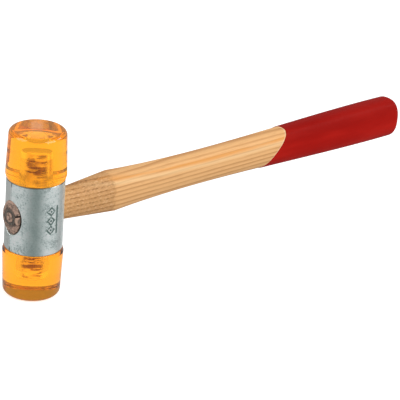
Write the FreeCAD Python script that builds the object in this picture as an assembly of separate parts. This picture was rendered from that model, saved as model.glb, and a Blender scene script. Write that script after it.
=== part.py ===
"""Soft-face hammer: tubular steel head, two screw-in plastic faces, wedged ash handle.

All sizes are in millimetres. The origin is the centre of the lower striking face.
+Z runs up the head to the upper face, and +X runs along the handle to its butt.
"""
import FreeCAD, Part
import math
import os

from FreeCAD import Vector

# ---------------------------------------------------------------- sleeve
sleeve_diameter = 33.4
sleeve_wall = 2.6
sleeve_length = 42.4
sleeve_edge_radius = 0.5
seam_width = 0.5
seam_depth = 0.35

# ---------------------------------------------------------------- faces
face_height = 29.0
face_overhang = 0.8
face_draft = 1.1
striking_edge_radius = 3.0
collar_height = 2.4
collar_overhang = 0.1
thread_pitch = 2.5
thread_depth = 1.2
thread_crest = 0.5
thread_relief = 1.5
core_wall = 6.3
core_draft = 0.8
core_roof = 10.6
core_corner_radius = 1.5

# ---------------------------------------------------------------- handle
handle_reach = 282.0
tenon_half_height = 10.2
tenon_half_width = 7.2
eye_taper_in_height = 0.9
eye_taper_in_width = 0.45
tenon_proud = 1.0
tenon_dome_rise = 1.2
shoulder_offset = 37.0
flare_rise_in_height = 2.7
flare_rise_in_width = 3.15
neck_offset = 113.0
neck_half_height = 9.95
neck_half_width = 8.2
palm_before_butt = 75.0
palm_half_height = 11.5
palm_half_width = 9.4
butt_half_height = 12.3
butt_half_width = 10.0
butt_edge_radius = 5.0
round_section_power = 2.0
flat_section_power = 2.5

# ---------------------------------------------------------------- wedge and lacquer
wedge_land = 2.3
wedge_wall = 1.95
wedge_length = 11.0
wedge_tip_thickness = 0.5
lacquer_thickness = 0.3
lacquer_reach = 105.0
lacquer_slant = 0.92

# ---------------------------------------------------------------- fits
thread_clearance = 0.1
seat_clearance = 0.1
flare_clearance = 0.3
spigot_to_tenon_gap = 1.8

# ---------------------------------------------------------------- fineness of the curved sections
section_points = 32
butt_edge_steps = 6

# ---------------------------------------------------------------- places worked out from the sizes
sleeve_radius = sleeve_diameter / 2
bore_radius = sleeve_radius - sleeve_wall
sleeve_bottom = face_height
sleeve_top = sleeve_bottom + sleeve_length
axis_height = sleeve_bottom + sleeve_length / 2
face_radius = sleeve_radius + face_overhang
striking_radius = face_radius - face_draft
collar_radius = sleeve_radius + collar_overhang
collar_top = sleeve_bottom - seat_clearance
spigot_top = axis_height - tenon_half_height - spigot_to_tenon_gap
thread_major_radius = bore_radius - thread_clearance
thread_minor_radius = thread_major_radius - thread_depth
core_mouth_radius = thread_minor_radius - core_wall
core_end_radius = core_mouth_radius - core_draft
tenon_crown = -(sleeve_radius + tenon_proud)
trim_start = tenon_crown - tenon_dome_rise
eye_half_height = tenon_half_height - eye_taper_in_height
eye_half_width = tenon_half_width - eye_taper_in_width
flare_start = sleeve_radius + flare_clearance
shoulder_x = sleeve_radius + shoulder_offset
shoulder_half_height = eye_half_height + flare_rise_in_height
shoulder_half_width = eye_half_width + flare_rise_in_width
neck_x = sleeve_radius + neck_offset
palm_x = handle_reach - palm_before_butt
wedge_outer_radius = tenon_half_width - wedge_land
wedge_inner_radius = wedge_outer_radius - wedge_wall
wedge_tip = tenon_crown + wedge_length
lacquer_front = handle_reach - lacquer_reach


def revolve(outline, axis):
    """Solid of revolution of a closed (radius, height) outline about the X or Z axis."""
    corners = []
    for radius, height in outline:
        if axis == "Z":
            corners.append(Vector(radius, 0, height))
        else:
            corners.append(Vector(height, 0, axis_height + radius))
    corners.append(corners[0])
    flat = Part.Face(Part.makePolygon(corners))
    if axis == "Z":
        return flat.revolve(Vector(0, 0, 0), Vector(0, 0, 1), 360)
    return flat.revolve(Vector(0, 0, axis_height), Vector(1, 0, 0), 360)


def circles_at(solid, height, radius):
    """Circular edges of a solid about the Z axis, at one height and radius."""
    found = []
    for edge in solid.Edges:
        if isinstance(edge.Curve, Part.Circle):
            level = abs(edge.Curve.Center.z - height) < 1e-4
            if level and abs(edge.Curve.Radius - radius) < 1e-4:
                found.append(edge)
    return found


def oval(x, half_height, half_width, power):
    """Superellipse section across the handle's axis: power 2 is an ellipse, more is squarer."""
    points = []
    for step in range(section_points):
        angle = 2 * math.pi * step / section_points
        across = math.copysign(abs(math.cos(angle)) ** (2 / power), math.cos(angle))
        upward = math.copysign(abs(math.sin(angle)) ** (2 / power), math.sin(angle))
        points.append(Vector(x, half_width * across, axis_height + half_height * upward))
    curve = Part.BSplineCurve()
    curve.interpolate(Points=points, PeriodicFlag=True)
    return Part.Wire([curve.toShape()])


def grip_body(skin):
    """The grip from the shoulder to the rounded butt, grown outwards by a skin thickness."""
    edge_radius = butt_edge_radius + skin
    edge_start = handle_reach - butt_edge_radius
    grip = Part.makeLoft([
        oval(shoulder_x, shoulder_half_height + skin, shoulder_half_width + skin, flat_section_power),
        oval(neck_x, neck_half_height + skin, neck_half_width + skin, flat_section_power),
        oval(palm_x, palm_half_height + skin, palm_half_width + skin, flat_section_power),
        oval(edge_start, butt_half_height + skin, butt_half_width + skin, flat_section_power),
    ], True, False)
    rounding = []
    for step in range(butt_edge_steps + 1):
        angle = math.pi / 2 * step / butt_edge_steps
        inset = edge_radius * (1 - math.cos(angle))
        x = edge_start + edge_radius * math.sin(angle)
        half_height = butt_half_height + skin - inset
        half_width = butt_half_width + skin - inset
        rounding.append(oval(x, half_height, half_width, flat_section_power))
    return grip.fuse(Part.makeLoft(rounding, True, False))


def tenon_dome():
    """Sphere whose cap is the low crown that the tenon and the wedge are trimmed to."""
    rim_radius = (tenon_half_height + tenon_half_width) / 2
    dome_radius = (rim_radius ** 2 + tenon_dome_rise ** 2) / (2 * tenon_dome_rise)
    return Part.makeSphere(dome_radius, Vector(tenon_crown + dome_radius, 0, axis_height))


def tenon_body():
    """The tapered tenon, widest at the outer end where the wedge spreads it, cut to the dome."""
    taper = Part.makeLoft([
        oval(trim_start, tenon_half_height, tenon_half_width, round_section_power),
        oval(flare_start, eye_half_height, eye_half_width, round_section_power),
    ], True, True)
    return taper.common(tenon_dome())


def wedge_ring():
    """Steel ring wedge: both walls taper to a thin edge, and its outer end follows the dome."""
    tip_middle = (wedge_outer_radius + wedge_inner_radius) / 2
    outline = (
        (wedge_outer_radius, trim_start),
        (tip_middle + wedge_tip_thickness / 2, wedge_tip),
        (tip_middle - wedge_tip_thickness / 2, wedge_tip),
        (wedge_inner_radius, trim_start),
    )
    return revolve(outline, "X").common(tenon_dome())


def whole_handle():
    """Tenon, hand-sanded flare and grip in one piece of wood, slotted for the ring wedge."""
    flare = Part.makeLoft([
        oval(flare_start, eye_half_height, eye_half_width, round_section_power),
        oval(shoulder_x, shoulder_half_height, shoulder_half_width, flat_section_power),
    ], True, True)
    wood = tenon_body().fuse([flare, grip_body(0.0)])
    return wood.removeSplitter().cut(wedge_ring())


def head_sleeve():
    """Zinc-plated tube with its eye and the shallow butt seam along the tenon side."""
    middle = Vector(0, 0, sleeve_bottom)
    tube = Part.makeCylinder(sleeve_radius, sleeve_length, middle)
    rims = circles_at(tube, sleeve_bottom, sleeve_radius) + circles_at(tube, sleeve_top, sleeve_radius)
    tube = tube.makeFillet(sleeve_edge_radius, rims)
    tube = tube.cut(Part.makeCylinder(bore_radius, sleeve_length, middle))
    seam = Part.makeBox(seam_depth * 2, seam_width, sleeve_length)
    seam.translate(Vector(-sleeve_radius - seam_depth, -seam_width / 2, sleeve_bottom))
    return tube.cut(seam).cut(tenon_body())


def thread_outline():
    """Ridges of the spigot's thread as (radius, height) points, from the collar to its end."""
    flank = (thread_pitch - thread_crest) / 2
    points = []
    foot = collar_top + thread_relief
    while foot + thread_pitch <= spigot_top:
        points.append((thread_minor_radius, foot))
        points.append((thread_major_radius, foot + flank))
        points.append((thread_major_radius, foot + flank + thread_crest))
        foot += thread_pitch
    points.append((thread_minor_radius, foot))
    if foot < spigot_top:
        points.append((thread_minor_radius, spigot_top))
    return points


def striking_face():
    """One moulded face: drafted block, bevelled collar, threaded spigot and blind core hole."""
    outline = [
        (0, 0),
        (striking_radius, 0),
        (face_radius, collar_top - collar_height),
        (collar_radius, collar_top),
        (thread_minor_radius, collar_top),
    ]
    outline += thread_outline()
    outline += [
        (core_mouth_radius, spigot_top),
        (core_end_radius, core_roof),
        (0, core_roof),
    ]
    solid = revolve(outline, "Z")
    solid = solid.makeFillet(striking_edge_radius, circles_at(solid, 0, striking_radius))
    return solid.makeFillet(core_corner_radius, circles_at(solid, core_roof, core_end_radius))


def upper_face():
    """The same moulding as the lower face, turned over about the handle's axis."""
    face = striking_face()
    face.rotate(Vector(0, 0, axis_height), Vector(1, 0, 0), 180)
    return face


def grip_lacquer():
    """Dip coat over the grip and butt, ending at an oblique front edge."""
    half = 2 * (butt_half_height + lacquer_thickness)
    top_x = lacquer_front + lacquer_slant * half
    bottom_x = lacquer_front - lacquer_slant * half
    far_x = handle_reach + butt_half_height
    corners = [
        Vector(bottom_x, -half, axis_height - half),
        Vector(far_x, -half, axis_height - half),
        Vector(far_x, -half, axis_height + half),
        Vector(top_x, -half, axis_height + half),
        Vector(bottom_x, -half, axis_height - half),
    ]
    dipped = Part.Face(Part.makePolygon(corners)).extrude(Vector(0, 2 * half, 0))
    return grip_body(lacquer_thickness).common(dipped).cut(grip_body(0.0))


os.makedirs("parts", exist_ok=True)
nodes = {
    "head_sleeve": head_sleeve(),
    "upper_face": upper_face(),
    "lower_face": striking_face(),
    "handle": whole_handle(),
    "ring_wedge": wedge_ring(),
    "grip_lacquer": grip_lacquer(),
}
for name, shape in nodes.items():
    shape.exportStep("parts/" + name + ".step")
    print(name, round(shape.Volume), "mm3,", len(shape.Solids), "solid, valid:", shape.isValid())
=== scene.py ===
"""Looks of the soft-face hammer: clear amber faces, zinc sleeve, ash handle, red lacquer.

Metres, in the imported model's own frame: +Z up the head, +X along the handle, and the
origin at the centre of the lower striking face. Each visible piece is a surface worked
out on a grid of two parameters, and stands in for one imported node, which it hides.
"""
import math

import bmesh
import bpy
import numpy as np
from mathutils import Matrix, Vector


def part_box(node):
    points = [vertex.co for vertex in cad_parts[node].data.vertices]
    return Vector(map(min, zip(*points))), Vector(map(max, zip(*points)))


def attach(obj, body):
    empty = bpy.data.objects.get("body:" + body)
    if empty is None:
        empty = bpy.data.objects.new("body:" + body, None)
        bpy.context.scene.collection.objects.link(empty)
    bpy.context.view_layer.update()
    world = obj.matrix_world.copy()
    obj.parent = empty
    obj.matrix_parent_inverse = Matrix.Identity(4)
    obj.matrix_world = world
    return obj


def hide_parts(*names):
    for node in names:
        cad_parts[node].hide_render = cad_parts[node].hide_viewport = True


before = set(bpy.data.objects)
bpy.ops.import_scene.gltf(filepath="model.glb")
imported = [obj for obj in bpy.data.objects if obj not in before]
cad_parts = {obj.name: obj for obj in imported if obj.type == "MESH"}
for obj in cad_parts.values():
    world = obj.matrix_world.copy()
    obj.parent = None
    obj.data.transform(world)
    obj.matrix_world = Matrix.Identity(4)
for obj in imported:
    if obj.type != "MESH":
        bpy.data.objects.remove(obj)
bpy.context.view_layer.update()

MM = 0.001

# ---------------------------------------------------------------- places taken from the frame
face_low, face_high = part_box("lower_face")
sleeve_low, sleeve_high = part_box("head_sleeve")
tenon_low, butt_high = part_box("handle")
wedge_low, wedge_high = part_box("ring_wedge")
coat_low, coat_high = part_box("grip_lacquer")
axis_height = (sleeve_low.z + sleeve_high.z) / 2
sleeve_radius = (sleeve_high.y - sleeve_low.y) / 2
face_radius = (face_high.y - face_low.y) / 2
spigot_top = face_high.z
head_centre = Vector((0, 0, axis_height))

# ---------------------------------------------------------------- sizes shared with the design
sleeve_wall = 2.6 * MM
bore_radius = sleeve_radius - sleeve_wall
seat_gap = 0.1 * MM
collar_top = sleeve_low.z - seat_gap
collar_height = 2.4 * MM
collar_radius = sleeve_radius + 0.1 * MM
striking_radius = face_radius - 1.1 * MM
striking_edge_radius = 3.0 * MM
thread_major_radius = bore_radius - 0.1 * MM
thread_minor_radius = thread_major_radius - 1.2 * MM
thread_pitch = 2.5 * MM
core_mouth_radius = thread_minor_radius - 6.3 * MM
core_end_radius = core_mouth_radius - 0.8 * MM
core_roof = 10.6 * MM
pole_radius = 0.4 * MM
tenon_half = (7.2 * MM, 10.2 * MM)
eye_half = (6.75 * MM, 9.3 * MM)
flare_start = sleeve_radius + 0.3 * MM
shoulder_x = sleeve_radius + 37 * MM
neck_x = sleeve_radius + 113 * MM
grip_half_widths = (9.9 * MM, 8.2 * MM, 9.4 * MM, 10.0 * MM)
grip_half_heights = (12.0 * MM, 9.95 * MM, 11.5 * MM, 12.3 * MM)
palm_x = butt_high.x - 75 * MM
butt_edge_radius = 5 * MM
butt_edge_x = butt_high.x - butt_edge_radius
flat_section_power = 2.5
dome_rise = 1.2 * MM
wedge_outer_radius = (wedge_high.y - wedge_low.y) / 2
wedge_inner_radius = wedge_outer_radius - 1.95 * MM
lacquer_thickness = coat_high.x - butt_high.x
lacquer_slant = 0.92
lacquer_front = butt_high.x - 105 * MM

# Each eye: its side of the tube, the wood's half sizes there, the gap round the wood, and
# how far the hole's middle lies from the handle's axis across and upwards.
eyes = (
    (1, eye_half, 0.1 * MM, (0.0, 0.0)),
    (-1, tenon_half, 0.42 * MM, (-0.32 * MM, -0.35 * MM)),
)
# Splits in the end grain: start, stop (across, upwards) and width at the rim, in mm.
splits = (
    ((-4.9, 2.1), (-7.2, 2.9), 0.6),
    ((-4.7, -2.4), (-6.9, -2.9), 0.32),
)


# ---------------------------------------------------------------- mesh making
def make_piece(name, corners, faces, body, node, material):
    """One closed smooth mesh: seams merged, normals outwards, tied to its body, with the imported node it
    stands for hidden.
    """
    mesh = bpy.data.meshes.new(name)
    mesh.from_pydata(corners.tolist(), [], faces)
    work = bmesh.new()
    work.from_mesh(mesh)
    bmesh.ops.remove_doubles(work, verts=work.verts, dist=0.0005 * MM)
    bmesh.ops.recalc_face_normals(work, faces=work.faces)
    work.to_mesh(mesh)
    work.free()
    mesh.shade_smooth()
    mesh.materials.append(material)
    piece = bpy.data.objects.new(name, mesh)
    bpy.context.scene.collection.objects.link(piece)
    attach(piece, body)
    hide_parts(node)


def quads_between(rows, around, start=0, looped=False):
    """Four-cornered faces over a grid of rings, whose columns always close on themselves."""
    row = np.arange(rows if looped else rows - 1)[:, None]
    column = np.arange(around)[None, :]
    beside = (column + 1) % around
    above = ((row + 1) % rows) * around
    here = row * around
    loops = [here + column, here + beside, above + beside, above + column]
    return (np.stack(np.broadcast_arrays(*loops), -1).reshape(-1, 4) + start).tolist()


def skin(rings, looped=False):
    """Corners and faces of a skin over rows of rings.

    A looped skin joins its last ring to its first. Otherwise a fan to the middle of the
    first and of the last ring closes each end.
    """
    rows, around = rings.shape[:2]
    corners = rings.reshape(-1, 3)
    faces = quads_between(rows, around, looped=looped)
    if looped:
        return corners, faces
    poles = np.stack([rings[0].mean(0), rings[-1].mean(0)])
    step = np.arange(around)
    following = (step + 1) % around
    last = (rows - 1) * around
    faces += np.stack([np.full(around, len(corners)), following, step], -1).tolist()
    faces += np.stack([np.full(around, len(corners) + 1), last + step, last + following], -1).tolist()
    return np.concatenate([corners, poles]), faces


def rounded_outline(corners, radii, step):
    """A polyline with an arc at each corner, straight runs divided to the step.

    An arc of radius R at a corner that turns by a starts R * tan(a / 2) before it.
    """
    corners = np.array(corners, float)
    pieces = []
    for index, radius in enumerate(radii):
        point = corners[index]
        if radius == 0 or index in (0, len(radii) - 1):
            pieces.append(point[None])
            continue
        incoming = point - corners[index - 1]
        outgoing = corners[index + 1] - point
        incoming /= np.linalg.norm(incoming)
        outgoing /= np.linalg.norm(outgoing)
        cross = incoming[0] * outgoing[1] - incoming[1] * outgoing[0]
        turn = math.atan2(cross, float(incoming @ outgoing))
        reach = radius * math.tan(abs(turn) / 2)
        side = np.array([-incoming[1], incoming[0]]) * math.copysign(1, turn)
        centre = point - incoming * reach + side * radius
        angle = np.linspace(0, abs(turn), 9)[:, None]
        pieces.append(centre - side * radius * np.cos(angle) + incoming * radius * np.sin(angle))
    line = np.concatenate(pieces)
    lengths = np.linalg.norm(np.diff(line, axis=0), axis=1)
    distance = np.concatenate([[0], np.cumsum(lengths)])
    counts = np.maximum(np.ceil(lengths / step).astype(int), 1)
    fractions = [np.arange(count) / count for count in counts]
    places = [start + length * part for start, length, part in zip(distance, lengths, fractions)]
    places = np.append(np.concatenate(places), distance[-1])
    return np.stack([np.interp(places, distance, line[:, axis]) for axis in (0, 1)], -1)


def turned(radius, height, angle):
    """Rings about the Z axis: radius and height per row, or radius per row and angle."""
    radius = np.broadcast_to(radius, (len(height), len(angle)))
    x = radius * np.cos(angle)
    y = radius * np.sin(angle)
    z = np.broadcast_to(np.asarray(height)[:, None], x.shape)
    return np.stack([x, y, z], -1)


def smooth_step(value, low, high):
    """0 below low, 1 above high and an even S between them."""
    share = np.clip((value - low) / (high - low), 0, 1)
    return share * share * (3 - 2 * share)


# ---------------------------------------------------------------- striking faces
def face_rings(upside_down):
    """One moulded face as rings about Z.

    The outline runs from the middle of the striking disc, round its edge, up the drafted
    side, over the bevelled collar and its seat, up the spigot and back down the blind core.
    On the spigot the radius rises by a ridge of trapezium section that follows
    height / pitch - angle / turn, so that it is a true helix.
    """
    ring_step = 0.3 * MM
    outline = rounded_outline(
        [
            (pole_radius, 0),
            (striking_radius, 0),
            (face_radius, collar_top - collar_height),
            (collar_radius, collar_top),
            (thread_minor_radius, collar_top),
            (thread_minor_radius, spigot_top),
            (core_mouth_radius, spigot_top),
            (core_end_radius, core_roof),
            (pole_radius, core_roof),
        ],
        [0, striking_edge_radius, 0.8 * MM, 0.4 * MM, 0.3 * MM, 0.3 * MM, 0.4 * MM, 1.5 * MM, 0],
        ring_step,
    )
    radius, height = outline[:, 0], outline[:, 1]
    angle = np.linspace(0, 2 * math.pi, 256, endpoint=False)
    phase = (height[:, None] / thread_pitch - angle[None] / (2 * math.pi)) % 1.0
    crest, flank = 1.9, 5.2
    ridge = np.clip(crest - np.abs(phase - 0.5) * flank, 0, 1)
    fade = smooth_step(height, collar_top + 0.8 * MM, collar_top + 2.2 * MM)
    fade = fade * (1 - smooth_step(height, spigot_top - 1.2 * MM, spigot_top - 0.3 * MM))
    on_spigot = np.abs(radius - thread_minor_radius) < 0.02 * MM
    rise = (thread_major_radius - thread_minor_radius) * (fade * on_spigot)[:, None] * ridge
    rings = turned(radius[:, None] + rise, height, angle)
    if upside_down:
        rings = rings * np.array([1, -1, -1]) + np.array([0, 0, 2 * axis_height])
    return rings


# ---------------------------------------------------------------- sleeve
def sleeve_skin():
    """The tube: two halves with an eye in each, and two rims.

    Each half is unrolled, so that a point is an angle round the tube and a height. Rows run
    from the inner wall's border to the inner eye, through the wall and out to the outer
    border, and each row blends an ellipse at the eye with the half's rectangle. The eye closes
    on the tapered wood at the inner wall. A rim is an outline carried round the Z axis: a
    quarter circle, a flat land and the bore's edge.
    """
    side = 96
    edge = 0.5 * MM
    inner_room = 0.1 * MM
    rim = sleeve_high.z - edge - axis_height
    quarter = math.pi / 2
    run = np.arange(side) / side * 2 - 1
    along = np.concatenate([-run, np.full(side, -1.0), run, np.full(side, 1.0)])
    up = np.concatenate([np.full(side, 1.0), -run, np.full(side, -1.0), run])
    corner_start = np.linspace(0, 2 * math.pi, 4 * side, endpoint=False) + math.pi / 4
    ease = (np.linspace(0, 1, 40) ** 1.5)[:, None]
    wall = np.linspace(0, 1, 6)[1:-1, None, None]
    corners, faces, count = [], [], 0
    for direction, half, gap, middle in eyes:
        walls = []
        for radius, share, room, shift in (
            (bore_radius, ease[::-1], direction * inner_room, 0),
            (sleeve_radius, ease, gap, 1),
        ):
            across = middle[0] * shift + (half[0] + room) * np.cos(corner_start)
            upward = middle[1] * shift + (half[1] + room) * np.sin(corner_start)
            turn = np.arcsin(across / radius) * (1 - share) + along * quarter * share
            level = upward * (1 - share) + up * rim * share
            x = direction * radius * np.cos(turn)
            y = radius * np.sin(turn)
            walls.append(np.stack([x, y, axis_height + level], -1))
        inner, outer = walls
        rings = np.concatenate([inner, inner[-1] + (outer[0] - inner[-1]) * wall, outer])
        corners.append(rings.reshape(-1, 3))
        faces += quads_between(len(rings), 4 * side, count)
        count += len(corners[-1])
    angle = np.arange(0, 4 * side, 2) / (4 * side) * 2 * math.pi - quarter
    bend = np.linspace(0, quarter, 7)
    radius = np.concatenate([
        sleeve_radius - edge + edge * np.cos(bend),
        np.linspace(sleeve_radius - edge, bore_radius, 5)[1:],
        [bore_radius],
    ])
    level = np.concatenate([rim + edge * np.sin(bend), np.full(4, rim + edge), [rim]])
    for sign in (1, -1):
        rings = turned(radius[:, None], axis_height + sign * level, angle)
        corners.append(rings.reshape(-1, 3))
        faces += quads_between(len(rings), len(angle), count)
        count += len(corners[-1])
    return np.concatenate(corners), faces


# ---------------------------------------------------------------- handle
def superellipse(half_width, half_height, power, angle):
    """Width times cos and height times sin, each raised to 2 / power with its sign kept."""
    across = np.sign(np.cos(angle)) * np.abs(np.cos(angle)) ** (2 / power)
    upward = np.sign(np.sin(angle)) * np.abs(np.sin(angle)) ** (2 / power)
    return half_width * across, half_height * upward


def grip_size(x):
    """Half width and half height along the grip: the cubic through its four stations."""
    place = (shoulder_x, neck_x, palm_x, butt_edge_x)
    weights = []
    for i in range(4):
        others = [j for j in range(4) if j != i]
        weights.append(np.prod([(x - place[j]) / (place[i] - place[j]) for j in others], axis=0))
    weights = np.stack(weights)
    return tuple(np.tensordot(np.array(sizes), weights, 1) for sizes in (grip_half_widths, grip_half_heights))


def grip_rings(x, skin_out, angle):
    """Rings of the grip at places x, grown by a skin, with the butt's edge rounded.

    Past the start of the rounding the section draws in by r * (1 - sqrt(1 - t * t)), where t
    is the share of the radius r that x has gone.
    """
    edge = butt_edge_radius + skin_out
    width, height = grip_size(np.minimum(x, butt_edge_x))
    gone = np.clip((x - butt_edge_x) / edge, 0, 1)
    drawn_in = edge * (1 - np.sqrt(1 - gone * gone))
    across, upward = superellipse(width + skin_out - drawn_in, height + skin_out - drawn_in,
                                  flat_section_power, angle)
    return np.stack([np.broadcast_to(x, across.shape), across, axis_height + upward], -1)


def butt_places(skin_out):
    """Places along the rounded edge at even turns of its quarter circle."""
    turn = np.linspace(0, math.pi / 2, 14)[1:, None]
    return butt_edge_x + (butt_edge_radius + skin_out) * np.sin(turn)


def capped(rings, shares):
    """Copies of a flat end ring drawn towards its middle by each share."""
    middle = rings.mean(0)
    return middle + (rings - middle) * np.asarray(shares)[:, None, None]


def crown_x(y, z):
    """The tenon's low dome: a sphere through its crown that falls by the rise to the rim."""
    rim = (tenon_half[0] + tenon_half[1]) / 2
    radius = (rim ** 2 + dome_rise ** 2) / (2 * dome_rise)
    return tenon_low.x + radius - np.sqrt(radius ** 2 - y ** 2 - z ** 2)


def split_depth(y, z):
    """Depth of the splits in the end grain: each opens towards the rim on one line."""
    deepest = 1.6 * MM
    depth = np.zeros_like(y)
    for start, stop, width in splits:
        start, stop = np.array(start) * MM, np.array(stop) * MM
        line = stop - start
        length = np.linalg.norm(line)
        share = ((y - start[0]) * line[0] + (z - start[1]) * line[1]) / length ** 2
        away = np.abs((y - start[0]) * line[1] - (z - start[1]) * line[0]) / length
        opening = width * MM * np.clip(0.25 + 0.75 * share, 0.1, 1.2)
        inside = smooth_step(share, -0.1, 0.05)
        depth = np.maximum(depth, deepest * inside * (1 - smooth_step(away, opening * 0.4, opening)))
    return depth


def handle_rings():
    """The whole handle as rings about its axis, from the crown of the tenon to the butt.

    The end grain is a dome with a round slot for the ring wedge: rows are circles out to
    the slot and then blend into the oval rim. The tenon and the flare are straight blends
    between the design's sections, and the grip follows its cubic.
    """
    angle = np.linspace(0, 2 * math.pi, 288, endpoint=False)[None]
    slot_depth, slot_lip = 1.5 * MM, 0.2 * MM
    edge = 0.45 * MM
    circles = [(share * wedge_inner_radius, 0) for share in (*np.linspace(0.05, 0.94, 9), 0.98)]
    circles += [(wedge_inner_radius, slot_depth), (wedge_outer_radius, slot_depth)]
    circles += [(wedge_outer_radius, slot_lip)]
    rows = []
    for radius, depth in circles:
        y, z = radius * np.cos(angle), radius * np.sin(angle)
        rows.append(np.stack([crown_x(y, z) + depth, y, axis_height + z], -1))
    rim_y, rim_z = superellipse(tenon_half[0], tenon_half[1], 2.0, angle)
    radius = wedge_outer_radius + 0.06 * MM
    for share in np.linspace(0, 1, 22):
        y = radius * np.cos(angle) * (1 - share) + (rim_y - edge * np.cos(angle)) * share
        z = radius * np.sin(angle) * (1 - share) + (rim_z - edge * np.sin(angle)) * share
        rows.append(np.stack([crown_x(y, z) + split_depth(y, z), y, axis_height + z], -1))
    rim_x = rows[-1][..., 0]
    for turn in np.linspace(0, math.pi / 2, 6)[1:]:
        y = rim_y - edge * np.cos(angle) * (1 - math.sin(turn))
        z = rim_z - edge * np.sin(angle) * (1 - math.sin(turn))
        x = rim_x + edge * (1 - math.cos(turn))
        rows.append(np.stack([x, y, axis_height + z], -1))
    last = rows[-1]
    eye_y, eye_z = superellipse(eye_half[0], eye_half[1], 2.0, angle)
    eye_ring = np.stack([np.full_like(eye_y, flare_start), eye_y, axis_height + eye_z], -1)
    for share in np.linspace(0, 1, 40)[1:]:
        rows.append(last * (1 - share) + eye_ring * share)
    shoulder = grip_rings(np.array([[shoulder_x]]), 0, angle)
    for share in np.linspace(0, 1, 60)[1:]:
        rows.append(eye_ring * (1 - share) + shoulder * share)
    grip = grip_rings(np.linspace(shoulder_x, butt_edge_x, 180)[1:, None], 0, angle)
    edge_rows = grip_rings(butt_places(0), 0, angle)
    return np.concatenate([np.concatenate(rows), grip, edge_rows, capped(edge_rows[-1], (0.8, 0.5, 0.2))])


def wedge_rings():
    """The ring wedge as an outline carried round the handle's axis: a looped skin."""
    tip_middle = (wedge_inner_radius + wedge_outer_radius) / 2
    tip = 0.25 * MM
    inset = 0.02 * MM
    outline = rounded_outline(
        [
            (tip_middle, wedge_high.x),
            (tip_middle + tip, wedge_high.x),
            (wedge_outer_radius - inset, wedge_low.x + 0.35 * MM),
            (wedge_inner_radius + inset, wedge_low.x + 0.05 * MM),
            (tip_middle - tip, wedge_high.x),
            (tip_middle, wedge_high.x),
        ],
        [0, 0.1 * MM, 0.25 * MM, 0.25 * MM, 0.1 * MM, 0],
        0.2 * MM,
    )[:-1]
    angle = np.linspace(0, 2 * math.pi, 192, endpoint=False)
    radius, place = outline[:, :1], outline[:, 1:]
    x = np.broadcast_to(place, (len(outline), len(angle)))
    return np.stack([x, radius * np.cos(angle), axis_height + radius * np.sin(angle)], -1)


def lacquer_rings():
    """The dip coat: an outer skin from its slanting lip to the butt, then back just inside.

    Column by column the lip stands at front + slant * height, and a row is a share of the
    way from there to the butt. The lip rises to the full thickness over its own length.
    """
    lip_length = 0.8 * MM
    inner_depth = -0.15 * MM
    angle = np.linspace(0, 2 * math.pi, 384, endpoint=False)[None]
    lip = np.full_like(angle, coat_low.x)
    for _ in range(6):
        ring = grip_rings(lip.T, lacquer_thickness, angle)
        height = np.diagonal(ring[..., 2]) - axis_height
        lip = (lacquer_front + lacquer_slant * height)[None]
    outer = []
    for past, rise in ((0.0, -0.05), (0.025, 0.5), (0.1875, 0.85), (0.5, 0.97), (1.0, 1.0)):
        outer.append((lip + past * lip_length, rise * lacquer_thickness))
    for share in np.linspace(0, 1, 150)[1:]:
        outer.append((lip + lip_length + (butt_edge_x - lip - lip_length) * share, lacquer_thickness))
    rows = [slanted_ring(x, rise, angle) for x, rise in outer]
    edge_rows = grip_rings(butt_places(lacquer_thickness), lacquer_thickness, angle)
    inner_edge = grip_rings(butt_places(inner_depth)[::-1], inner_depth, angle)
    rows += [*edge_rows, *capped(edge_rows[-1], (0.75, 0.5, 0.25, 0.02))]
    rows += [*capped(inner_edge[0], (0.02, 0.3, 0.7)), *inner_edge]
    for share in np.linspace(1, 0, 60):
        rows.append(slanted_ring(lip + (butt_edge_x - lip) * share, inner_depth, angle))
    return np.stack(rows)


def slanted_ring(x, skin_out, angle):
    """One ring of the grip whose place x changes round the ring."""
    width, height = grip_size(x)
    across, upward = superellipse(width + skin_out, height + skin_out, flat_section_power, angle)
    return np.stack([x, across, axis_height + upward], -1)[0]


# ---------------------------------------------------------------- shader arithmetic
class Wire:
    """One output socket of a material, on which arithmetic adds Math nodes."""

    def __init__(self, recipe, socket):
        self.recipe = recipe
        self.socket = socket

    def math(self, operation, *others):
        inputs = {0: self, **{index + 1: other for index, other in enumerate(others)}}
        return self.recipe.node("ShaderNodeMath", {"operation": operation}, inputs)

    def __add__(self, other):
        return self.math("ADD", other)

    __radd__ = __add__

    def __mul__(self, other):
        return self.math("MULTIPLY", other)

    __rmul__ = __mul__

    def __sub__(self, other):
        return self.math("SUBTRACT", other)

    def __rsub__(self, other):
        return self.recipe.node("ShaderNodeMath", {"operation": "SUBTRACT"}, {0: other, 1: self})

    def __truediv__(self, other):
        return self.math("DIVIDE", other)

    def __pow__(self, other):
        return self.math("POWER", other)

    def size(self):
        return self.math("ABSOLUTE")

    def part(self):
        return self.math("FRACT")

    def step(self, low, high):
        """0 below low, 1 above high and an even S between them."""
        return self.recipe.node(
            "ShaderNodeMapRange", {"interpolation_type": "SMOOTHSTEP", "clamp": True},
            {"Value": self, "From Min": low, "From Max": high},
        )

    def bump_at(self, middle, width):
        """1 at the middle value, falling to 0 at a width either side."""
        return 1 - (self - middle).size().step(0, width)


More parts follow.
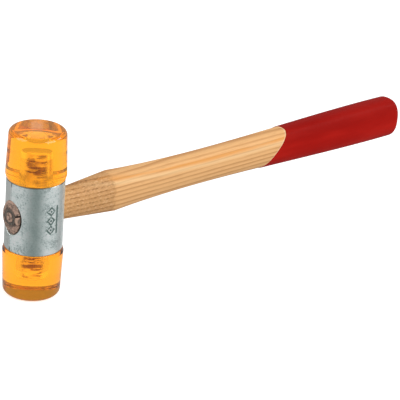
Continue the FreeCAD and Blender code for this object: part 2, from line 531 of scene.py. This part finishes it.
class Recipe:
    """One material: its Principled shader, and nodes made from types, settings and inputs."""

    def __init__(self, name, **plain):
        """Plain values go straight on the shader's sockets."""
        self.material = bpy.data.materials.new(name)
        self.material.use_nodes = True
        self.tree = self.material.node_tree
        self.shader = self.tree.nodes["Principled BSDF"]
        self.output = self.tree.nodes["Material Output"]
        for socket, value in plain.items():
            self.shader.inputs[socket.replace("_", " ")].default_value = value
        self.place = self.node("ShaderNodeTexCoord", {}, {}, "Object")

    def node(self, kind, settings, inputs, output=0):
        node = self.tree.nodes.new(kind)
        for setting, value in settings.items():
            if setting == "stops":
                ramp = node.color_ramp.elements
                for index, (position, colour) in enumerate(value):
                    stop = ramp[index] if index < 2 else ramp.new(position)
                    stop.position = position
                    stop.color = (*colour, 1)
            else:
                setattr(node, setting, value)
        for socket, value in inputs.items():
            self.feed(node.inputs[socket], value)
        return Wire(self, node.outputs[output])

    def feed(self, socket, value):
        if isinstance(value, Wire):
            self.tree.links.new(value.socket, socket)
        elif isinstance(value, tuple) and len(value) == 3 and socket.type == "RGBA":
            socket.default_value = (*value, 1)
        else:
            socket.default_value = value

    def xyz(self):
        split = self.tree.nodes.new("ShaderNodeSeparateXYZ")
        self.tree.links.new(self.place.socket, split.inputs[0])
        return tuple(Wire(self, split.outputs[axis]) for axis in range(3))

    def stretched(self, x=1.0, y=1.0, z=1.0):
        """The place in the object with each axis multiplied, to draw a pattern out."""
        return self.node("ShaderNodeVectorMath", {"operation": "MULTIPLY"}, {0: self.place, 1: (x, y, z)})

    def noise(self, place, scale, detail=2.0, roughness=0.5):
        return self.node(
            "ShaderNodeTexNoise", {},
            {"Vector": place, "Scale": scale, "Detail": detail, "Roughness": roughness},
        )

    def mix(self, share, first, second):
        """The first colour where the share is 0, the second where it is 1."""
        return self.node("ShaderNodeMix", {"data_type": "RGBA"}, {0: share, 6: first, 7: second}, 2)

    def ramp(self, value, *stops):
        return self.node("ShaderNodeValToRGB", {"stops": stops}, {"Fac": value})

    def set(self, **values):
        """Feed the shader's own sockets, named with an underscore for each space."""
        for socket, value in values.items():
            self.feed(self.shader.inputs[socket.replace("_", " ")], value)

    def bump(self, height, distance, strength=1.0):
        inputs = {"Height": height, "Distance": distance, "Strength": strength}
        self.set(Normal=self.node("ShaderNodeBump", {}, inputs))


def amber_plastic():
    """Clear amber cellulose acetate: deep colour in the outer skin, a little more in depth.

    The spigot and the blind core carry less tint, and short dark marks lie round the core.
    Round the seated thread and over the core's end the plastic has a painted glow, a mottled
    yellow emission. Depth is counted from each striking disc towards the middle.
    """
    recipe = Recipe(
        "amber_plastic", IOR=1.48, Specular_IOR_Level=0.05, Transmission_Weight=1.0, Emission_Strength=0.4
    )
    skin_tint, inner_tint = (0.99, 0.47, 0.025), (0.99, 0.86, 0.62)
    mark_tint, painted_glow_tint = (0.13, 0.045, 0.01), (1.0, 0.74, 0.12)
    x, y, z = recipe.xyz()
    out = (x * x + y * y) ** 0.5
    depth = axis_height - (z - axis_height).size()
    in_core = (1 - out.step(6.9 * MM, 7.2 * MM)) * depth.step(core_roof - 0.4 * MM, core_roof - 0.1 * MM)
    on_spigot = 1 - out.step(thread_major_radius + 0.05 * MM, thread_major_radius + 0.2 * MM)
    on_spigot = on_spigot * depth.step(collar_top + 0.3 * MM, collar_top + 0.7 * MM)
    tint = recipe.mix((in_core + on_spigot).step(0, 1), skin_tint, inner_tint)

    # Painted glow over the core's end: this mask feeds the emission below.
    painted_glow_core_end = in_core * (1 - depth.step(15.3 * MM, 15.9 * MM)) * (1 - out.step(5.2 * MM, 6.6 * MM))
    patchy = recipe.noise(recipe.stretched(1, 1, 0.1), 170, 1)
    rim = depth.bump_at(core_roof + 0.6 * MM, 1.4 * MM) * out.step(5.2 * MM, 6.2 * MM)
    rim = rim * patchy.step(0.5, 0.62)
    dashes = recipe.noise(recipe.stretched(1, 1, 6), 130, 3, 0.6).step(0.47, 0.54)
    dashes = dashes * depth.step(11.9 * MM, 12.6 * MM) * (1 - depth.step(22 * MM, 27 * MM) * 0.5)
    tint = recipe.mix(in_core * (rim + dashes).step(0, 0.9), tint, mark_tint)

    # Painted glow round the seated thread, mottled and stronger along the thread's turns: an emission, not
    # light from a lamp.
    turns = (z / thread_pitch - y.math("ARCTAN2", x) / (2 * math.pi)).part().bump_at(0.5, 0.5)
    glow_mottle = recipe.noise(recipe.place, 240, 3, 0.6)
    painted_glow_seated = (1 - out.step(16.3 * MM, 16.6 * MM)) * depth.step(28.6 * MM, 28.8 * MM)
    painted_glow_seated = painted_glow_seated * (0.4 + out.step(6.4 * MM, 7.8 * MM) * 0.6)
    painted_glow_seated = painted_glow_seated * (0.55 + turns * 0.3 + (glow_mottle - 0.5) * 1.6)
    recipe.set(Base_Color=tint, Emission_Color=recipe.mix(painted_glow_seated + painted_glow_core_end * 0.8, (0, 0, 0), painted_glow_tint))

    wear = recipe.noise(recipe.place, 420, 4)
    scuff = recipe.noise(recipe.stretched(1, 1, 6), 90, 3)
    inner_roughness = in_core * 0.3 + on_spigot * 0.12
    recipe.set(Roughness=0.02 + wear * 0.04 + scuff.step(0.5, 0.8) * 0.05 + inner_roughness)
    recipe.bump(scuff + wear * 0.4, 0.012 * MM, 0.3)
    inside = recipe.tree.nodes.new("ShaderNodeVolumeAbsorption")
    inside.inputs["Color"].default_value = (0.995, 0.72, 0.15, 1)
    inside.inputs["Density"].default_value = 28
    recipe.tree.links.new(inside.outputs[0], recipe.output.inputs["Volume"])
    return recipe.material


def zinc_plate():
    """Bright zinc on rolled tube: speckled metal, a butt seam and a worn stamped panel.

    The panel holds three lozenges, each a line where the distance across plus the distance
    up from its middle reaches a set length, beside one upright bar. Seam, panel, a dark band
    of painted reflection and a band of painted shade are on the outer wall only. Painted shade
    also greys the far side and darkens the rims, except where a lamp's glint falls on the upper rim.
    """
    recipe = Recipe("zinc_plated_steel", Metallic=1.0)
    panel_turn = math.radians(-89)
    lozenge_pitch = 5.7 * MM
    x, y, z = recipe.xyz()
    cloud = recipe.noise(recipe.place, 140, 4, 0.6)
    speck = recipe.noise(recipe.place, 900, 3, 0.7)
    grit = recipe.noise(recipe.stretched(1, 1, 1.6), 2400, 2, 0.6)
    turn = y.math("ARCTAN2", x)
    level = z - axis_height
    metal = recipe.ramp(
        cloud * 0.35 + speck * 0.4 + grit * 0.25,
        (0.41, (0.46, 0.54, 0.53)), (0.59, (1.0, 1.0, 1.0)), (0.5, (0.90, 1.0, 0.98)),
    )
    outer = ((x * x + y * y) ** 0.5).step(sleeve_radius - 1.5 * MM, sleeve_radius - 0.9 * MM)
    # Painted reflection: a dark mottled band round the outer wall stands in for a reflection of a dark part
    # of the room.
    painted_reflection_band = outer * turn.bump_at(math.radians(-126), math.radians(30)) * (0.76 + (speck - 0.5) * 0.9)
    # Painted shade: a grey band on the outer wall, and a grey far side towards -X on the +Y half.
    shade = outer * turn.bump_at(math.radians(-66), math.radians(15))
    painted_far_side_shade = y.step(0, 1.2 * MM) * (0 - x).step(9 * MM, 12 * MM)
    metal = recipe.mix(painted_reflection_band, metal, (0.25, 0.335, 0.315))
    metal = recipe.mix(painted_far_side_shade * 0.6, metal, (0.50, 0.52, 0.50))
    metal = recipe.mix(shade * 0.55, metal, (0.50, 0.54, 0.53))

    across = (turn - panel_turn) * sleeve_radius
    beside = across.size().step(4.2 * MM, 4.7 * MM)
    beyond = (level - 0.3 * MM).size().step(8.5 * MM, 8.9 * MM)
    inside = outer * (1 - beside) * (1 - beyond)
    cell = (((level + 8.2 * MM) / lozenge_pitch).part() - 0.5).size() * lozenge_pitch
    reach = (across + 1.0 * MM).size() + cell
    worn = recipe.noise(recipe.place, 700, 2, 0.6)
    lozenge = reach.bump_at(2.4 * MM, 1.35 * MM) + (1 - reach.step(0.5 * MM, 1.1 * MM))
    bar = across.bump_at(3.2 * MM, 1.3 * MM)
    stamped = inside * (lozenge * worn.step(0.26, 0.42) + bar * 0.95 + worn.step(0.56, 0.7) * 0.5)
    raised = inside * reach.bump_at(1.5 * MM, 0.8 * MM) * worn.step(0.45, 0.55)
    metal = recipe.mix(raised * 0.8, metal, (1.0, 1.0, 1.0))
    metal = recipe.mix(stamped.step(0, 1) * 0.85, metal, (0.05, 0.13, 0.11))

    at_seam = outer * (0 - x).step(0, 1 * MM)
    seam = at_seam * y.bump_at(0, 0.45 * MM)
    nick = at_seam * y.bump_at(0, 0.8 * MM) * level.size().step(17.6 * MM, 19.4 * MM)
    metal = recipe.mix(seam * 0.35, metal, (0.16, 0.18, 0.18))
    metal = recipe.mix(nick * 0.85, metal, (0.02, 0.02, 0.02))
    # Painted shade at the joints with the collars: both rims are darkened, except on the upper rim where the
    # rim lamp's glint falls.
    bright = turn.bump_at(math.radians(-84), math.radians(17)) * level.step(0, 1 * MM)
    rim = level.size().step(20.5 * MM, 20.9 * MM) * (1 - bright)
    metal = recipe.mix(rim * 0.8, metal, (0.08, 0.09, 0.08))
    recipe.set(Base_Color=metal, Roughness=0.36 + cloud * 0.12 + grit * 0.12)
    recipe.bump(grit * 0.5 + speck + cloud - seam * 2 - stamped * 3, 0.05 * MM, 0.7)
    return recipe.material


def ash_wood():
    """Ash: lines nearly flat along the grain, a sanded flare, and dirty hammered end grain."""
    recipe = Recipe("ash_wood", Specular_IOR_Level=0.3)
    x, y, z = recipe.xyz()
    level = z - axis_height
    sway = recipe.noise(recipe.stretched(0.35, 1, 1), 26, 2) - 0.5
    line = ((level + y * 0.35 + sway * (4 * MM)) / (2.6 * MM)).part()
    late = line.step(0.35, 0.9) * (1 - line.step(0.92, 1.0))
    fibre = recipe.noise(recipe.stretched(0.05, 1, 1), 2200, 3, 0.65)
    streak = recipe.noise(recipe.stretched(0.06, 1, 1), 330, 3, 0.55)
    colour = recipe.mix(late * streak.step(0.22, 0.5) * 0.8, (0.90, 0.51, 0.215), (0.58, 0.26, 0.085))
    colour = recipe.mix(fibre.step(0.5, 0.72) * 0.35, colour, (0.52, 0.25, 0.09))

    # A pale band and an orange streak run along a shallow arc on the near side.
    near = (0 - y).step(1 * MM, 4 * MM)
    ridge = level + sway * (2.5 * MM) - ((x - 140 * MM) / (85 * MM)) ** 2 * (3.5 * MM)
    colour = recipe.mix(near * ridge.bump_at(4.2 * MM, 1.8 * MM) * 0.6, colour, (0.98, 0.66, 0.34))
    orange = near * ridge.bump_at(6.5 * MM, 1.7 * MM) * streak.step(0.32, 0.55)
    colour = recipe.mix(orange * 0.8, colour, (0.86, 0.37, 0.085))

    # The flare is sanded darker, with torn grain, as far as the cut line at the shoulder.
    flare = 1 - x.step(shoulder_x - 5 * MM, shoulder_x - 2.5 * MM)
    scuff = recipe.noise(recipe.stretched(0.45, 1, 1), 1500, 3, 0.7)
    torn = scuff.step(0.46, 0.6) * (0.2 + late * 0.8)
    smooth = (1 - scuff.step(0.34, 0.44)) * (1 - late)
    cut = x.bump_at(shoulder_x - 3.4 * MM, 1.8 * MM) * scuff.step(0.44, 0.6) * (1 - orange)
    colour = recipe.mix(flare * (0.5 - orange * 0.4), colour, (0.58, 0.29, 0.105))
    colour = recipe.mix(flare * torn * 0.8, colour, (0.30, 0.13, 0.04))
    colour = recipe.mix(flare * smooth * 0.6, colour, (0.95, 0.68, 0.42))
    colour = recipe.mix(cut * 0.55, colour, (0.40, 0.19, 0.06))
    # Painted highlight: a pale line on the wood just before the lacquer's lip, where the edge catches the
    # light.
    lip = (x - lacquer_front - lacquer_slant * level).bump_at(-0.35 * MM, 0.45 * MM)
    colour = recipe.mix(lip * 0.55, colour, (0.96, 0.80, 0.62))

    dirt = recipe.noise(recipe.place, 520, 4, 0.65)
    is_end = 1 - x.step(-9.5 * MM, -8.5 * MM)
    # Painted shade: the wood inside the sleeve's eye is coloured near-black, as the hole shades it.
    painted_eye_shade = is_end * x.step(-15.6 * MM, -14.6 * MM)
    colour = recipe.mix(is_end, colour, end_grain(recipe, y, level, dirt))
    colour = recipe.mix(painted_eye_shade, colour, (0.03, 0.02, 0.015))
    recipe.set(Base_Color=colour, Roughness=0.5 + fibre * 0.2)
    recipe.bump(fibre * 0.7 + late * 0.4 + flare * scuff * 0.8 + is_end * (dirt * 2 - 1), 0.08 * MM, 0.55)
    return recipe.material


def end_grain(recipe, y, level, dirt):
    """Colour of the tenon's end: dirt, a painted shadow ring round the wedge, a chip, pits, and splits
    darkened with painted shade.
    """
    open_grain = recipe.noise(recipe.stretched(1, 1, 0.35), 900, 3, 0.6)
    colour = recipe.mix(dirt.step(0.35, 0.62), (0.14, 0.105, 0.085), (0.58, 0.375, 0.285))
    colour = recipe.mix(open_grain.step(0.52, 0.66) * 0.6, colour, (0.12, 0.08, 0.06))
    out = (y * y + level * level) ** 0.5
    ring_shadow = out.bump_at(wedge_outer_radius + 0.5 * MM, 0.8 * MM)
    colour = recipe.mix(ring_shadow * 0.7, colour, (0.05, 0.042, 0.036))
    chip = ((y + 6.1 * MM) / (1.1 * MM)) ** 2 + ((level - 0.2 * MM) / (2.2 * MM)) ** 2
    colour = recipe.mix((1 - chip.step(0.5, 1.1)) * 0.8, colour, (0.66, 0.45, 0.33))
    for pit_y, pit_z in ((0.1 * MM, 1.2 * MM), (-0.3 * MM, -0.9 * MM)):
        pit = ((y - pit_y) / (0.75 * MM)) ** 2 + ((level - pit_z) / (0.6 * MM)) ** 2
        colour = recipe.mix((1 - pit.step(0.3, 1.0)) * 0.85, colour, (0.09, 0.03, 0.015))
    # The splits are cut into the mesh too; their colour here is painted shade, nearly black.
    for start, stop, width in splits:
        run = (stop[0] - start[0], stop[1] - start[1])
        length = math.hypot(*run)
        from_start = (y - start[0] * MM, level - start[1] * MM)
        share = (from_start[0] * run[0] + from_start[1] * run[1]) / (length * length * MM)
        away = (from_start[0] * run[1] - from_start[1] * run[0]).size() / (length * MM)
        painted_split_shade = share.step(-0.15, 0.1) * (1 - away.step(width * 0.45, width * 1.1))
        colour = recipe.mix(painted_split_shade * 0.95, colour, (0.012, 0.009, 0.008))
    return colour


def wedge_steel():
    """Raw steel of the ring wedge, dulled and hammered at its end."""
    recipe = Recipe("wedge_steel", Metallic=0.45)
    blow = recipe.noise(recipe.place, 700, 3, 0.65)
    colour = recipe.mix(blow.step(0.35, 0.65), (0.065, 0.055, 0.045), (0.22, 0.185, 0.155))
    recipe.set(Base_Color=colour, Roughness=0.5 + blow * 0.25)
    recipe.bump(blow, 0.2 * MM, 0.7)
    return recipe.material


def red_lacquer():
    """Satin red dip lacquer with a faint flow in it, and painted shade that darkens its upper side a little.
    """
    recipe = Recipe("red_lacquer", Coat_Weight=0.015, Coat_Roughness=0.3, Specular_IOR_Level=0.04)
    flow = recipe.noise(recipe.stretched(0.2, 1, 1), 150, 2)
    peel = recipe.noise(recipe.place, 1100, 2)
    colour = recipe.mix(flow.step(0.3, 0.7), (0.40, 0.0075, 0.0045), (0.48, 0.0115, 0.007))
    height = recipe.xyz()[2] - axis_height
    # Painted shade: the coat is darkened towards its upper side.
    colour = recipe.mix(height.step(1 * MM, 8 * MM) * 0.4, colour, (0.20, 0.003, 0.002))
    recipe.set(Base_Color=colour, Roughness=0.42 + peel * 0.12)
    recipe.bump(flow + peel * 0.4, 0.06 * MM, 0.5)
    return recipe.material


# ---------------------------------------------------------------- pieces
amber = amber_plastic()
for piece_name, node_name, body_name, upside_down in (
    ("lower_striking_face", "lower_face", "lower_face_body", False),
    ("upper_striking_face", "upper_face", "upper_face_body", True),
):
    corners, faces = skin(face_rings(upside_down))
    make_piece(piece_name, corners, faces, body_name, node_name, amber)

corners, faces = sleeve_skin()
make_piece("zinc_sleeve", corners, faces, "hammer", "head_sleeve", zinc_plate())
corners, faces = skin(handle_rings())
make_piece("ash_handle", corners, faces, "hammer", "handle", ash_wood())
corners, faces = skin(wedge_rings(), looped=True)
make_piece("steel_ring_wedge", corners, faces, "hammer", "ring_wedge", wedge_steel())
corners, faces = skin(lacquer_rings(), looped=True)
make_piece("red_dip_coat", corners, faces, "hammer", "grip_lacquer", red_lacquer())


# ---------------------------------------------------------------- floor, light and camera
def floor_sheet():
    """A plain pale floor that gives off a little light, just under the hammer.

    It is hidden from diffuse and glossy rays, so that it doesn't light the hammer from below.
    """
    half = 4.0
    below = -0.2 * MM
    corners = [(-half, -half, 0), (half, -half, 0), (half, half, 0), (-half, half, 0)]
    mesh = bpy.data.meshes.new("floor")
    mesh.from_pydata(corners, [], [(0, 1, 2, 3)])
    recipe = Recipe("floor_paint", Roughness=0.9, Emission_Color=(1, 1, 1, 1), Emission_Strength=0.55)
    mottle = recipe.noise(recipe.place, 3, 2)
    recipe.set(Base_Color=recipe.mix(mottle, (0.90, 0.90, 0.90), (0.92, 0.92, 0.92)))
    mesh.materials.append(recipe.material)
    floor = bpy.data.objects.new("floor", mesh)
    bpy.context.scene.collection.objects.link(floor)
    floor.visible_diffuse = False
    floor.visible_glossy = False
    floor.location.z = below


def softbox(name, azimuth, elevation, distance, width, height, power):
    """A soft area light aimed at the hammer's head from a direction, in degrees.

    It can't be seen through the amber, which would show it as a bright square.
    """
    light = bpy.data.lights.new(name, "AREA")
    light.shape = "RECTANGLE"
    light.size, light.size_y, light.energy = width, height, power
    lamp = bpy.data.objects.new(name, light)
    bpy.context.scene.collection.objects.link(lamp)
    turn, rise = math.radians(azimuth), math.radians(elevation)
    away = Vector((math.sin(turn) * math.cos(rise), -math.cos(turn) * math.cos(rise), math.sin(rise)))
    lamp.location = head_centre + away * distance
    lamp.rotation_mode = "QUATERNION"
    lamp.rotation_quaternion = (-away).to_track_quat("-Z", "Y")
    lamp.visible_transmission = False


def room_light(strength):
    """An even pale room."""
    world = bpy.data.worlds.new("room")
    world.use_nodes = True
    background = world.node_tree.nodes["Background"]
    background.inputs["Color"].default_value = (1, 1, 1, 1)
    background.inputs["Strength"].default_value = strength
    bpy.context.scene.world = world


def product_camera():
    """The camera looks down on the tenon side, with the head at the frame's left edge.

    Its place follows from where the middle of the head lies in the frame: that many frame
    widths right of and below the frame's middle, at the set distance along the view.
    """
    elevation, azimuth, roll = (math.radians(a) for a in (24.43, -41.86, -4.50))
    distance = 1.25
    focal_widths = 5.524
    head_right, head_down = -0.4137, 0.0266
    forward = -Vector((
        math.sin(azimuth) * math.cos(elevation),
        -math.cos(azimuth) * math.cos(elevation),
        math.sin(elevation),
    ))
    level_right = forward.cross(Vector((0, 0, 1))).normalized()
    level_down = forward.cross(level_right)
    right = level_right * math.cos(roll) + level_down * math.sin(roll)
    down = level_down * math.cos(roll) - level_right * math.sin(roll)
    ray = forward + right * (head_right / focal_widths) + down * (head_down / focal_widths)
    data = bpy.data.cameras.new("camera")
    data.sensor_width = 36
    data.lens = focal_widths * data.sensor_width
    camera = bpy.data.objects.new("camera", data)
    bpy.context.scene.collection.objects.link(camera)
    camera.matrix_world = Matrix((
        (right.x, -down.x, -forward.x, head_centre.x - ray.x * distance),
        (right.y, -down.y, -forward.y, head_centre.y - ray.y * distance),
        (right.z, -down.z, -forward.z, head_centre.z - ray.z * distance),
        (0, 0, 0, 1),
    ))
    bpy.context.scene.camera = camera


floor_sheet()
room_light(0.49)
softbox("left_softbox", -110, 35, 1.2, 0.8, 0.8, 5)
softbox("right_softbox", 20, 30, 1.2, 0.8, 0.8, 7)
softbox("rim_softbox", 70, 35, 1.0, 0.25, 0.25, 1.0)
softbox("glint_lamp", 142.9, 25.25, 1.025, 0.012, 0.008, 0.00025)
product_camera()
bpy.context.scene.view_settings.view_transform = "Standard"
